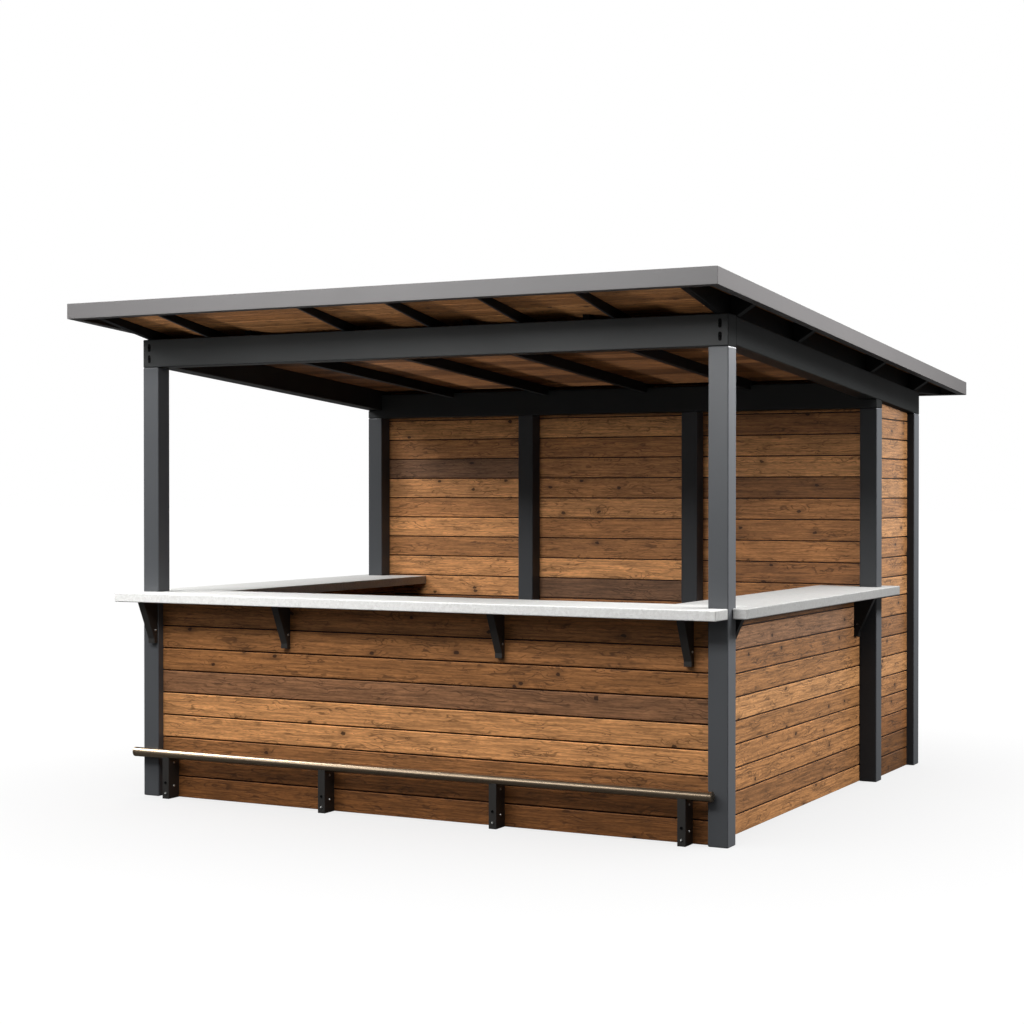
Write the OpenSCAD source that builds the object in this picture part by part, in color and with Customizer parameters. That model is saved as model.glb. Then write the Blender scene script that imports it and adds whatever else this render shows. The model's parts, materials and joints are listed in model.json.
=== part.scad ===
// Garden bar gazebo: a steel post frame under a mono-pitch roof, with a bar on three sides of
// a serving space and a closed boarded bay across the back. Millimetres, +Z up, the front
// towards -Y, the origin on the ground under the middle of the roof.

/* [Frame] */
// Width over the posts
frame_w = 3365; // [2900:5:4400]
// Depth of the serving space, front post faces to back post faces
bar_d = 2280; // [1700:5:3200]
// Depth of the closed bay, back post faces to rear post faces
bay_d = 755; // [500:5:1400]
// Side of the square posts, and width of the beams
post_w = 100; // [90:1:130]
// Height of the front posts
front_post_h = 2305; // [2150:5:2700]
// Height of the front beam
front_beam_h = 150; // [120:5:220]
// Height of the back beam
back_beam_h = 150; // [120:5:200]
// Height of the side beams
side_beam_h = 135; // [110:5:170]
// Height of the rear beam
rear_beam_h = 100; // [70:5:130]

/* [Roof] */
// Pitch of the roof in degrees, falling to the rear
roof_pitch = 4; // [2:0.5:6]
// Overhang in front of the front posts
front_overhang = 460; // [250:5:700]
// Overhang behind the rear posts
rear_overhang = 600; // [250:5:800]
// Overhang beyond the posts at each side
side_overhang = 130; // [100:5:300]
// Height of the fascia's lower edge over the front beam
eave_lift = 49; // [35:1:90]
// Height of the fascia
fascia_h = 80; // [70:1:140]
// Sheet thickness of the folded fascia
fascia_t = 6; // [3:0.5:10]
// Width of the fascia's turned-in lips
lip_w = 45; // [30:1:80]
// Thickness of the roof sheet with its underlay
sheet_t = 8; // [4:1:14]
// Thickness of the deck boards under the sheet
deck_t = 16; // [12:1:20]
// Thickness of the soffit boards under the front overhang
soffit_t = 12; // [9:1:18]
// Height of the soffit over the front beam's outer edge
soffit_lift = 50; // [40:1:60]
// Thickness of the ceiling boards between the rafters
lining_t = 12; // [9:1:18]

/* [Rafters] */
// Width of the rafters
rafter_w = 38; // [30:1:75]
// Depth of the rafters that shows under the ceiling boards
rafter_show = 54; // [45:1:90]
// Depth of the notch where a rafter sits on a beam
notch_h = 30; // [20:1:40]
// Right frame face to the first rafter's middle
rafter_right = 770; // [300:5:900]
// Spacing of the rafters
rafter_pitch = 660; // [450:5:800]
// Width of the outriggers
outrigger_w = 16; // [10:1:40]
// Front post faces to the inner ends of the outriggers
outrigger_run = 250; // [150:5:300]
// Right frame face to the first outrigger's middle
outrigger_right = 580; // [300:5:700]
// Spacing of the outriggers
outrigger_pitch = 503; // [400:1:700]
// Left frame face to the last outrigger's middle
outrigger_left = 425; // [250:5:600]
// Width of the lookouts under the side overhangs
lookout_w = 45; // [30:1:70]
// Front post faces to the middle lookout
lookout_mid = 970; // [600:5:1400]

/* [Counter] */
// Height of the counter top
counter_h = 1100; // [900:5:1200]
// Thickness of the counter slabs
slab_t = 50; // [30:1:80]
// Reach of the front slab in front of the posts
front_reach = 154; // [125:1:300]
// Reach of the side slabs beyond the posts
side_reach = 73; // [55:1:200]
// Front post faces to the inner edge of the front slab
front_slab_in = 257; // [180:1:450]
// Side post faces to the inner edge of the side slabs
side_slab_in = 373; // [220:1:600]
// Front post faces to the outer front end of the right slab
right_slab_start = 50; // [0:1:90]
// Run of the side slabs past the back posts
run_past = 110; // [40:5:250]
// Joint round the posts and between slabs
slab_gap = 2; // [0.5:0.5:5]

/* [Walls] */
// Thickness of the boarded walls
wall_t = 40; // [25:1:45]
// Front post faces to the boards of the front wall
front_wall_inset = 40; // [20:1:45]
// Outer post faces to the boards of the closed bay
bay_wall_inset = 45; // [20:1:45]

/* [Brackets] */
// Width of a bracket
bracket_w = 40; // [25:1:60]
// Height of a bracket
bracket_h = 225; // [150:5:300]
// Reach of a bracket under the slab
bracket_reach = 120; // [90:1:150]
// Depth of the blunt lower end
bracket_nose = 28; // [15:1:40]
// Height of the blunt lower end
bracket_toe = 25; // [10:1:50]
// Plate thickness of a bracket
bracket_t = 4; // [2:0.5:8]
// Left frame face to the first front bracket
bracket_left = 75; // [40:1:150]
// Left frame face to the second front bracket
bracket_left_mid = 905; // [400:5:1200]
// Right frame face to the third front bracket
bracket_right_mid = 1200; // [500:5:1400]
// Right frame face to the last front bracket
bracket_right = 205; // [150:1:350]
// Front posts to the first side bracket
side_bracket_front = 50; // [30:1:300]
// Back posts to the second side bracket
side_bracket_back = 80; // [30:1:300]

/* [Foot rail] */
// Diameter of the foot rail
rail_d = 50; // [38:1:60]
// Height of the foot rail's axis
rail_z = 237; // [150:1:320]
// Gap between the rail and the front posts
rail_gap = 5; // [2:1:30]
// Rail end beyond the left frame face
rail_left_out = 35; // [0:1:80]
// Rail end inside the right frame face
rail_right_in = 62; // [0:1:120]
// Rounding of the rail's ends
rail_edge = 3; // [1:0.5:6]
// Width of a rail leg
leg_w = 42; // [30:1:60]
// Front of the legs ahead of the post faces
leg_front = 50; // [40:1:80]
// Depth of the saddle in a leg's top
saddle_h = 10; // [5:1:15]
// Left frame face to the first leg
leg_left = 185; // [130:1:400]
// Right frame face to the last leg
leg_right = 210; // [130:1:400]
// Number of rail legs
leg_count = 4; // [2:1:6]

/* [Hidden] */
slope = tan(roof_pitch);
lean = cos(roof_pitch);
half_w = frame_w / 2;
inner_w = half_w - post_w;
roof_x = half_w + side_overhang;

// Stations along the depth, the roof centred on the origin
roof_back = (front_overhang + bar_d + bay_d + post_w + rear_overhang) / 2;
roof_front = -roof_back;
y_front = roof_front + front_overhang;
y_back = y_front + bar_d;
y_rear = y_back + bay_d;
y_end = y_rear + post_w;
y_tail = roof_front + fascia_t;
y_run = y_front + outrigger_run;
y_back_tail = roof_back - fascia_t;

// Heights, the roof plane measured at the fascia's lower edge
beam_top = front_post_h + front_beam_h;
deck_reveal = fascia_h - fascia_t - sheet_t - deck_t;
function eave(y) = beam_top + eave_lift - slope * (y - y_front);
function ceiling(y) = eave(y) + deck_reveal;
function side_top(y) = eave(y) - eave_lift;
function lining_foot(y) = side_top(y) - lining_t;
soffit_high = ceiling(y_tail) - soffit_t;
soffit_fall = (soffit_high - beam_top - soffit_lift) / (y_front - y_tail);
function soffit_foot(y) = soffit_high - soffit_fall * (y - y_tail);
function rafter_foot(y) = lining_foot(y) - rafter_show;
function side_foot(y) = side_top(y) - side_beam_h;
back_beam_top = rafter_foot(y_back) + notch_h;
back_post_h = back_beam_top - back_beam_h;
rear_beam_top = rafter_foot(y_rear) + notch_h;
rear_post_h = rear_beam_top - rear_beam_h;
roof_top = eave(roof_front) + fascia_h;

// Walls and counter
slab_foot = counter_h - slab_t;
y_wall = y_front + front_wall_inset;
y_wall_in = y_wall + wall_t;
y_back_wall = y_back + post_w;
bay_x = half_w - bay_wall_inset;
slab_x = half_w + side_reach;
slab_in_x = half_w - side_slab_in;
y_slab_in = y_front + front_slab_in;

// Rows of like pieces
wall_bays = 3;
post_step = (frame_w - post_w) / wall_bays;
rafter_last = frame_w - post_w - rafter_pitch / 2;
rafter_xs = [for (d = rafter_right; d < rafter_last; d = d + rafter_pitch) half_w - d];
outrigger_last = frame_w - outrigger_left - outrigger_pitch;
outrigger_xs = concat(
    [for (d = outrigger_right; d < outrigger_last; d = d + outrigger_pitch) half_w - d],
    [outrigger_left - half_w]
);
lookout_ys = [y_front + post_w + lookout_w / 2, y_front + lookout_mid, y_back - post_w, y_rear];
bracket_xs = [
    bracket_left - half_w,
    bracket_left_mid - half_w,
    half_w - bracket_right_mid,
    half_w - bracket_right
];
side_bracket_ys = [y_front + post_w + side_bracket_front, y_back - side_bracket_back];
leg_step = (frame_w - leg_left - leg_right) / (leg_count - 1);
leg_xs = [for (i = [0 : leg_count - 1]) leg_left - half_w + i * leg_step];

// The foot rail
rail_r = rail_d / 2;
y_rail = y_front - rail_gap - rail_r;
saddle_clear = 0.2;

steel = "#3a3d41";
trim = "#77787a";
boards = "#8a5f3c";
stone = "#d9d9d6";
black = "#1f2022";
bronze = "#9a8468";
cut = 1;

// Shapes that several pieces share

// A square-edged bar between two corners
module bar(low, high) {
    translate(low) cube(high - low);
}

// A profile in the depth and height plane, run across the width
module across(x0, x1, outline) {
    translate([x0, 0, 0]) rotate([90, 0, 90]) linear_extrude(height = x1 - x0) polygon(outline);
}

// A slab parallel to the roof, between two heights over the eave plane
module roof_layer(x0, x1, y0, y1, low, high) {
    across(x0, x1, [
        [y0, eave(y0) + low], [y1, eave(y1) + low],
        [y1, eave(y1) + high], [y0, eave(y0) + high]
    ]);
}

// The children on the right side, or mirrored to the left
module on_left() {
    mirror([1, 0, 0]) children();
}

// An upright post with its outer left corner at x and its front face at y
module post(x, y, h) {
    bar([x, y, 0], [x + post_w, y + post_w, h]);
}

// A corner post at the rear, its top cut to the underside of the side beam
module rear_corner_post() {
    across(inner_w, half_w, [[y_rear, 0], [y_end, 0], [y_end, side_foot(y_end)], [y_rear, side_foot(y_rear)]]);
}

// The right side beam, falling to the rear behind the front beam
module side_beam() {
    roof_layer(inner_w, half_w, y_front + post_w, y_end, -eave_lift - side_beam_h, -eave_lift);
}

// A rafter behind the front beam, notched over the back and rear beams, with a tapered tail
module rafter(x) {
    y0 = y_front + post_w;
    across(x - rafter_w / 2, x + rafter_w / 2, [
        [y0, rafter_foot(y0)],
        [y_back, rafter_foot(y_back)], [y_back, back_beam_top],
        [y_back_wall, back_beam_top], [y_back_wall, rafter_foot(y_back_wall)],
        [y_rear, rafter_foot(y_rear)], [y_rear, rear_beam_top], [y_end, rear_beam_top],
        [y_back_tail, eave(y_back_tail) + fascia_t], [y_back_tail, ceiling(y_back_tail)],
        [y0, ceiling(y0)]
    ]);
}

// A rafter along the right side beam, with a tapered tail at both ends
module edge_rafter() {
    x = half_w - post_w / 2;
    y0 = y_front + post_w;
    across(x - rafter_w / 2, x + rafter_w / 2, [
        [y_tail, eave(y_tail) + fascia_t], [y_front, beam_top], [y0, beam_top], [y0, side_top(y0)],
        [y_end, side_top(y_end)], [y_back_tail, eave(y_back_tail) + fascia_t],
        [y_back_tail, ceiling(y_back_tail)], [y_tail, ceiling(y_tail)]
    ]);
}

// A tapered outrigger from behind the front beam to the lip of the front fascia
module outrigger(x) {
    across(x - outrigger_w / 2, x + outrigger_w / 2, [
        [y_tail, eave(y_tail) + fascia_t], [y_front, beam_top], [y_run, beam_top],
        [y_run, ceiling(y_run)], [y_tail, ceiling(y_tail)]
    ]);
}

// The rafters between the edge rafters
module rafters() {
    for (x = rafter_xs) rafter(x);
}

// The outriggers of the front overhang, one that meets a rafter cut off at its end
module outriggers() {
    difference() {
        for (x = outrigger_xs) outrigger(x);
        rafters();
    }
}

// A tapered lookout from the right edge rafter to the lip of the right fascia
module lookout(y) {
    x_in = half_w - post_w / 2 + rafter_w / 2;
    x_lip = roof_x - lip_w;
    x_out = roof_x - fascia_t;
    translate([0, y, eave(y)]) rotate([90 - roof_pitch, 0, 0]) linear_extrude(height = lookout_w, center = true)
        polygon([
            [x_in, -eave_lift * lean], [half_w, -eave_lift * lean], [x_lip, fascia_t * lean],
            [x_out, fascia_t * lean], [x_out, deck_reveal * lean], [x_in, deck_reveal * lean]
        ]);
}

// The lookouts of the right overhang
module lookouts() {
    for (y = lookout_ys) lookout(y);
}

// A folded channel along the front eave, mitred at both ends
module eave_channel(y0, inwards) {
    y_web = y0 + inwards * fascia_t;
    y_lip = y0 + inwards * lip_w;
    intersection() {
        union() {
            roof_layer(-roof_x, roof_x, min(y0, y_web), max(y0, y_web), 0, fascia_h);
            roof_layer(-roof_x, roof_x, min(y0, y_lip), max(y0, y_lip), 0, fascia_t);
            roof_layer(-roof_x, roof_x, min(y0, y_lip), max(y0, y_lip), fascia_h - fascia_t, fascia_h);
        }
        linear_extrude(height = roof_top + cut) polygon([
            [-roof_x, y0], [roof_x, y0], [roof_x - lip_w, y_lip], [lip_w - roof_x, y_lip]
        ]);
    }
}

// A folded channel along the right verge, mitred at both ends
module verge_channel() {
    x_web = roof_x - fascia_t;
    x_lip = roof_x - lip_w;
    intersection() {
        union() {
            roof_layer(x_web, roof_x, roof_front, roof_back, 0, fascia_h);
            roof_layer(x_lip, roof_x, roof_front, roof_back, 0, fascia_t);
            roof_layer(x_lip, roof_x, roof_front, roof_back, fascia_h - fascia_t, fascia_h);
        }
        linear_extrude(height = roof_top + cut) polygon([
            [roof_x, roof_front], [roof_x, roof_back],
            [x_lip, roof_back - lip_w], [x_lip, roof_front + lip_w]
        ]);
    }
}

// The right counter wall, from the front wall to the back wall, inside the posts
module side_wall() {
    bar([inner_w - wall_t, y_wall_in, 0], [inner_w, y_back_wall, slab_foot]);
}

// The right wall of the closed bay, its top cut to the side beam
module bay_wall() {
    across(bay_x - wall_t, bay_x, [
        [y_back_wall, 0], [y_rear, 0], [y_rear, side_foot(y_rear)], [y_back_wall, side_foot(y_back_wall)]
    ]);
}

// A counter slab from its plan outline
module slab(outline) {
    translate([0, 0, slab_foot]) linear_extrude(height = slab_t) polygon(outline);
}

// The right slab's edge from its outer corner round the back post to the back wall
function slab_back_edge() = [
    [slab_x, y_back_wall + run_past],
    [bay_x + slab_gap, y_back_wall + run_past], [bay_x + slab_gap, y_back_wall + slab_gap],
    [half_w + slab_gap, y_back_wall + slab_gap], [half_w + slab_gap, y_back - slab_gap],
    [inner_w - slab_gap, y_back - slab_gap], [inner_w - slab_gap, y_back_wall],
    [slab_in_x, y_back_wall]
];

// A folded bracket under a slab: reach along X from a face at x = 0, middle at y = 0
module bracket() {
    outline = [
        [0, 0], [bracket_reach, 0], [bracket_nose, bracket_toe - bracket_h],
        [bracket_nose, -bracket_h], [0, -bracket_h]
    ];
    inside = [
        [-cut, cut], [bracket_reach - 2 * bracket_t, cut],
        [bracket_nose - bracket_t, bracket_toe - bracket_h],
        [bracket_nose - bracket_t, bracket_t - bracket_h], [-cut, bracket_t - bracket_h]
    ];
    translate([0, 0, slab_foot]) rotate([90, 0, 0]) difference() {
        linear_extrude(height = bracket_w, center = true) polygon(outline);
        linear_extrude(height = bracket_w - 2 * bracket_t, center = true) polygon(inside);
    }
}

// The brackets of the right slab, on the right counter wall
module side_brackets() {
    for (y = side_bracket_ys) translate([inner_w, y, 0]) bracket();
}

// The pieces

module front_left_post() {
    color(steel) post(-half_w, y_front, front_post_h);
}

module front_right_post() {
    color(steel) post(inner_w, y_front, front_post_h);
}

module back_left_post() {
    color(steel) post(-half_w, y_back, back_post_h);
}

module back_inner_left_post() {
    color(steel) post(-half_w + post_step, y_back, back_post_h);
}

module back_inner_right_post() {
    color(steel) post(-half_w + 2 * post_step, y_back, back_post_h);
}

module back_right_post() {
    color(steel) post(inner_w, y_back, back_post_h);
}

module rear_left_post() {
    color(steel) on_left() rear_corner_post();
}

module rear_inner_left_post() {
    color(steel) post(-half_w + post_step, y_rear, rear_post_h);
}

module rear_inner_right_post() {
    color(steel) post(-half_w + 2 * post_step, y_rear, rear_post_h);
}

module rear_right_post() {
    color(steel) rear_corner_post();
}

module front_beam() {
    color(steel) bar([-half_w, y_front, front_post_h], [half_w, y_front + post_w, beam_top]);
}

// The back beam runs out over the corner posts, notched under the side beams
module back_beam() {
    color(steel) difference() {
        bar([-half_w, y_back, back_post_h], [half_w, y_back_wall, back_beam_top]);
        side_beam();
        on_left() side_beam();
    }
}

module rear_beam() {
    color(steel) bar([-inner_w, y_rear, rear_post_h], [inner_w, y_end, rear_beam_top]);
}

module left_side_beam() {
    color(steel) on_left() side_beam();
}

module right_side_beam() {
    color(steel) side_beam();
}

module inner_rafters() {
    color(steel) rafters();
}

module left_edge_rafter() {
    color(steel) on_left() edge_rafter();
}

module right_edge_rafter() {
    color(steel) edge_rafter();
}

module front_outriggers() {
    color(steel) outriggers();
}

module left_lookouts() {
    color(steel) on_left() lookouts();
}

module right_lookouts() {
    color(steel) lookouts();
}

// Boards under the front overhang, falling from the fascia over the front beam between the outriggers
module front_soffit() {
    x = half_w - post_w / 2 - rafter_w / 2;
    color(boards) difference() {
        across(-x, x, [
            [y_tail, soffit_foot(y_tail)], [y_run, soffit_foot(y_run)],
            [y_run, soffit_foot(y_run) + soffit_t], [y_tail, soffit_foot(y_tail) + soffit_t]
        ]);
        outriggers();
        rafters();
    }
}

// Boards over the serving space, one panel between each pair of rafters
module ceiling_lining() {
    color(boards) difference() {
        roof_layer(
            -inner_w, inner_w, y_front + post_w, y_back_wall + wall_t, -eave_lift - lining_t, -eave_lift
        );
        rafters();
    }
}

module ceiling_deck() {
    x = roof_x - fascia_t;
    color(boards) roof_layer(-x, x, y_tail, y_back_tail, deck_reveal, deck_reveal + deck_t);
}

module roof_sheet() {
    x = roof_x - fascia_t;
    color(steel) roof_layer(-x, x, y_tail, y_back_tail, deck_reveal + deck_t, fascia_h - fascia_t);
}

module front_fascia() {
    color(trim) eave_channel(roof_front, 1);
}

module rear_fascia() {
    color(trim) eave_channel(roof_back, -1);
}

module left_fascia() {
    color(trim) on_left() verge_channel();
}

module right_fascia() {
    color(trim) verge_channel();
}

module front_counter_wall() {
    color(boards) bar([-inner_w, y_wall, 0], [inner_w, y_wall_in, slab_foot]);
}

module left_counter_wall() {
    color(boards) on_left() side_wall();
}

module right_counter_wall() {
    color(boards) side_wall();
}

// The wall behind the back posts, up to the ceiling boards, cut clear of the rafters and side beams
module back_wall() {
    x = bay_x - wall_t;
    y1 = y_back_wall + wall_t;
    color(boards) difference() {
        across(-x, x, [
            [y_back_wall, 0], [y1, 0], [y1, lining_foot(y1)], [y_back_wall, lining_foot(y_back_wall)]
        ]);
        rafters();
        side_beam();
        on_left() side_beam();
    }
}

module left_bay_wall() {
    color(boards) on_left() bay_wall();
}

module right_bay_wall() {
    color(boards) bay_wall();
}

// The boards of the rear, one panel between each pair of posts
module rear_wall() {
    y1 = y_end - bay_wall_inset;
    color(boards) for (i = [0 : wall_bays - 1]) {
        x0 = i * post_step - half_w + post_w;
        bar([x0, y1 - wall_t, 0], [x0 + post_step - post_w, y1, rear_post_h]);
    }
}

// The front slab, cut round both front posts
module front_counter() {
    y0 = y_front - slab_gap;
    y1 = y_front + post_w + slab_gap;
    color(stone) difference() {
        slab([
            [-slab_x, y_front - front_reach], [half_w, y_front - front_reach],
            [half_w, y_slab_in], [-slab_x, y_slab_in]
        ]);
        bar([-half_w - slab_gap, y0, slab_foot - cut], [slab_gap - inner_w, y1, counter_h + cut]);
        bar([inner_w - slab_gap, y0, slab_foot - cut], [half_w + cut, y1, counter_h + cut]);
    }
}

module left_counter() {
    y0 = y_slab_in + slab_gap;
    color(stone) on_left() slab(concat([[slab_in_x, y0], [slab_x, y0]], slab_back_edge()));
}

// The right slab, its outer edge running forward beside the front post
module right_counter() {
    x0 = half_w + slab_gap;
    y0 = y_front + right_slab_start;
    y1 = y_slab_in + slab_gap;
    color(stone) slab(concat([[slab_in_x, y1], [x0, y1], [x0, y0], [slab_x, y0]], slab_back_edge()));
}

// The first bracket is on the left post, the others are on the front wall
module front_brackets() {
    color(black) for (x = bracket_xs) {
        y = abs(x) > inner_w ? y_front : y_wall;
        translate([x, y, 0]) rotate([0, 0, -90]) bracket();
    }
}

module left_brackets() {
    color(black) on_left() side_brackets();
}

module right_brackets() {
    color(black) side_brackets();
}

// A round rail in front of the posts, with eased ends
module foot_rail() {
    length = frame_w + rail_left_out - rail_right_in;
    color(bronze) translate([-half_w - rail_left_out, y_rail, rail_z]) rotate([0, 90, 0]) rotate_extrude()
        polygon([
            [0, 0], [rail_r - rail_edge, 0], [rail_r, rail_edge],
            [rail_r, length - rail_edge], [rail_r - rail_edge, length], [0, length]
        ]);
}

// Upright legs against the front wall, each with a saddle for the rail
module rail_legs() {
    leg_h = rail_z - rail_r + saddle_h;
    color(black) difference() {
        for (x = leg_xs) bar([x - leg_w / 2, y_front - leg_front, 0], [x + leg_w / 2, y_wall, leg_h]);
        translate([-half_w - cut, y_rail, rail_z]) rotate([0, 90, 0])
            cylinder(h = frame_w + 2 * cut, r = rail_r + saddle_clear);
    }
}

front_left_post();
front_right_post();
back_left_post();
back_inner_left_post();
back_inner_right_post();
back_right_post();
rear_left_post();
rear_inner_left_post();
rear_inner_right_post();
rear_right_post();
front_beam();
back_beam();
rear_beam();
left_side_beam();
right_side_beam();
inner_rafters();
left_edge_rafter();
right_edge_rafter();
front_outriggers();
left_lookouts();
right_lookouts();
front_soffit();
ceiling_lining();
ceiling_deck();
roof_sheet();
front_fascia();
rear_fascia();
left_fascia();
right_fascia();
front_counter_wall();
left_counter_wall();
right_counter_wall();
back_wall();
left_bay_wall();
right_bay_wall();
rear_wall();
front_counter();
left_counter();
right_counter();
front_brackets();
left_brackets();
right_brackets();
foot_rail();
rail_legs();
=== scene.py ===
"""Looks of the garden bar gazebo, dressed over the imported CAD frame.

Every piece stands in the row frame, in metres: +X runs right along the bar front, the front faces -Y
and +Z is up. Sizes of CAD pieces are read from the frame; only finishes, boards, small fixings and the
studio have sizes of their own here.
"""

from __future__ import annotations

import json
import logging
import math
import random
from dataclasses import dataclass, field
from enum import Enum

import bmesh
import bpy
from mathutils import Matrix, Vector

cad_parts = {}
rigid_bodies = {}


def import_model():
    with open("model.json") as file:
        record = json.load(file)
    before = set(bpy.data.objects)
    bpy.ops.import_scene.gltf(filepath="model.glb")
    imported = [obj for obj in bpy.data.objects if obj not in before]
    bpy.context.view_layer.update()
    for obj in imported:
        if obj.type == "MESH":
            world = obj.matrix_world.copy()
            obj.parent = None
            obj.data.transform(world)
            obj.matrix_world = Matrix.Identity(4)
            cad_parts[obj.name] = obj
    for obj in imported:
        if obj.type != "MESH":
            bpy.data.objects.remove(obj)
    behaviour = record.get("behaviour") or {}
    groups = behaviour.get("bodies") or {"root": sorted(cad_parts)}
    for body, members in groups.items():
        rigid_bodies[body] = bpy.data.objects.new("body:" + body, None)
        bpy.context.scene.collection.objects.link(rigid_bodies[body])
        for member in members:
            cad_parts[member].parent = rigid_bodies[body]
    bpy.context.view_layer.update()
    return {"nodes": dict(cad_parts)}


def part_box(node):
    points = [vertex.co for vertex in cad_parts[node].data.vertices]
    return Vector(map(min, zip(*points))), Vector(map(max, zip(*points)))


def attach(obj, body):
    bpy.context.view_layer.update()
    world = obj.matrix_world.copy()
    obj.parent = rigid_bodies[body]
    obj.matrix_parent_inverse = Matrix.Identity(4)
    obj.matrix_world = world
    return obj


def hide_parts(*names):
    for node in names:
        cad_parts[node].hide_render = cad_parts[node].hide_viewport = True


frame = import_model()

MM = 0.001
MERGE = 0.01 * MM
FLAT_ANGLE = math.radians(1.0)
SHARP_ANGLE = math.radians(25.0)
# Least share of a direction that has to lie along an axis, for it to count as parallel or as facing that way.
PARALLEL = 0.99
FACING = 0.7
UP = Vector((0, 0, 1))
FRONT = Vector((0, -1, 0))

log = logging.getLogger("garden_bar")

Mesh = bmesh.types.BMesh
Node = bpy.types.Node
Socket = bpy.types.NodeSocket
Tree = bpy.types.NodeTree
Box = tuple[Vector, Vector]
Plane = tuple[Vector, Vector]
Names = tuple[str, ...]
Inputs = dict[str | int, object]
Span = tuple[float, float]
Spot = tuple[float, float, float]
Colour = tuple[float, float, float, float]
Spots = tuple[float, float, float, float]
Step = tuple[float, float, float, float]


def linear_colour(code: str, factor: float = 1.0) -> Colour:
    """Turn an sRGB hex colour into a linear one.

    Args:
        code: Colour as #rrggbb.
        factor: Brightness that the linear channels are multiplied by.

    Returns:
        Linear red, green and blue with an alpha of one.
    """
    channels = [int(code[start:start + 2], 16) / 255 for start in (1, 3, 5)]
    lit = [c / 12.92 if c <= 0.04045 else ((c + 0.055) / 1.055) ** 2.4 for c in channels]
    return (lit[0] * factor, lit[1] * factor, lit[2] * factor, 1.0)


def set_inputs(tree: Tree, node: Node, sockets: Inputs) -> None:
    """Give inputs of a node their values or links.

    Args:
        tree: Node tree of the node.
        node: Node that is changed.
        sockets: Input name or index to a value, or to an output socket that is linked to it.
    """
    for key, value in sockets.items():
        if isinstance(value, Socket):
            tree.links.new(value, node.inputs[key])
        else:
            node.inputs[key].default_value = value


def add_node(
    tree: Tree,
    kind: str,
    settings: dict[str, object] | None = None,
    sockets: Inputs | None = None,
) -> Node:
    """Add one shader node with its settings and links.

    Args:
        tree: Node tree that gets the node.
        kind: Node type without its ShaderNode prefix.
        settings: Values of the node's own properties.
        sockets: Values and links of its inputs.

    Returns:
        The new node.
    """
    node = tree.nodes.new("ShaderNode" + kind)
    for name, value in (settings or {}).items():
        setattr(node, name, value)
    set_inputs(tree, node, sockets or {})
    return node


def object_place(tree: Tree) -> Socket:
    """Place in the object's own metres."""
    return add_node(tree, "TexCoord").outputs["Object"]


def add_noise(tree: Tree, place: Socket, size: float, detail: float) -> Socket:
    """Add noise whose spots are about that size."""
    sockets = {"Vector": place, "Scale": 1 / size, "Detail": detail}
    return add_node(tree, "TexNoise", None, sockets).outputs["Fac"]


def add_mix(tree: Tree, share: Socket, first: Colour | Socket, second: Colour | Socket) -> Socket:
    """Blend from a first colour to a second one."""
    return add_node(tree, "Mix", {"data_type": "RGBA"}, {0: share, 6: first, 7: second}).outputs[2]


def add_shades(tree: Tree, share: Socket, code: str, depth: float) -> Socket:
    """Vary the brightness of a colour by a depth to either side."""
    return add_mix(tree, share, linear_colour(code, 1 - depth), linear_colour(code, 1 + depth))


def add_range(tree: Tree, value: Socket, step: Step, kind: str = "LINEAR") -> Socket:
    """Turn a stretch of a field into a step between two values."""
    sockets = dict(zip(("From Min", "From Max", "To Min", "To Max"), step), Value=value)
    return add_node(tree, "MapRange", {"interpolation_type": kind}, sockets).outputs["Result"]


def add_bump(tree: Tree, height: Socket, distance: float, strength: float) -> Socket:
    """Turn a field into relief."""
    sockets = {"Height": height, "Distance": distance, "Strength": strength}
    return add_node(tree, "Bump", None, sockets).outputs["Normal"]


class Finish:
    """A surface finish that becomes one shared material."""

    title: str

    def material(self) -> bpy.types.Material:
        """Make the material on first use.

        Returns:
            The material, shared by every piece with this finish.
        """
        known = bpy.data.materials.get(self.title)
        if known is not None:
            return known
        made = bpy.data.materials.new(self.title)
        made.use_nodes = True
        self.wire(made.node_tree, made.node_tree.nodes["Principled BSDF"])
        return made

    def wire(self, tree: Tree, shader: Node) -> None:
        """Link the finish's own nodes to the shader."""
        raise NotImplementedError


@dataclass(frozen=True)
class PowderCoat(Finish):
    """Polyester powder baked on steel: an even satin skin with faint orange peel and soft clouds of tone."""

    title: str
    colour: str
    roughness: float
    sheen: float = 0.5
    cloud: float = 420 * MM
    cloud_depth: float = 0.10
    gloss_swing: float = 0.06
    # Real orange peel is 1 to 2 mm wide; it is drawn coarser so that it shows.
    peel: float = 7 * MM
    peel_height: float = 0.12 * MM
    peel_strength: float = 0.5

    def wire(self, tree: Tree, shader: Node) -> None:
        """Cloud the colour and the gloss, and raise the peel."""
        place = object_place(tree)
        cloud = add_noise(tree, place, self.cloud, detail=4.0)
        peel = add_noise(tree, place, self.peel, detail=2.0)
        gloss = (0.0, 1.0, self.roughness + self.gloss_swing, self.roughness - self.gloss_swing)
        set_inputs(tree, shader, {
            "Base Color": add_shades(tree, cloud, self.colour, self.cloud_depth),
            "Roughness": add_range(tree, cloud, gloss),
            "Specular IOR Level": self.sheen,
            "Normal": add_bump(tree, peel, self.peel_height, self.peel_strength),
        })


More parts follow.
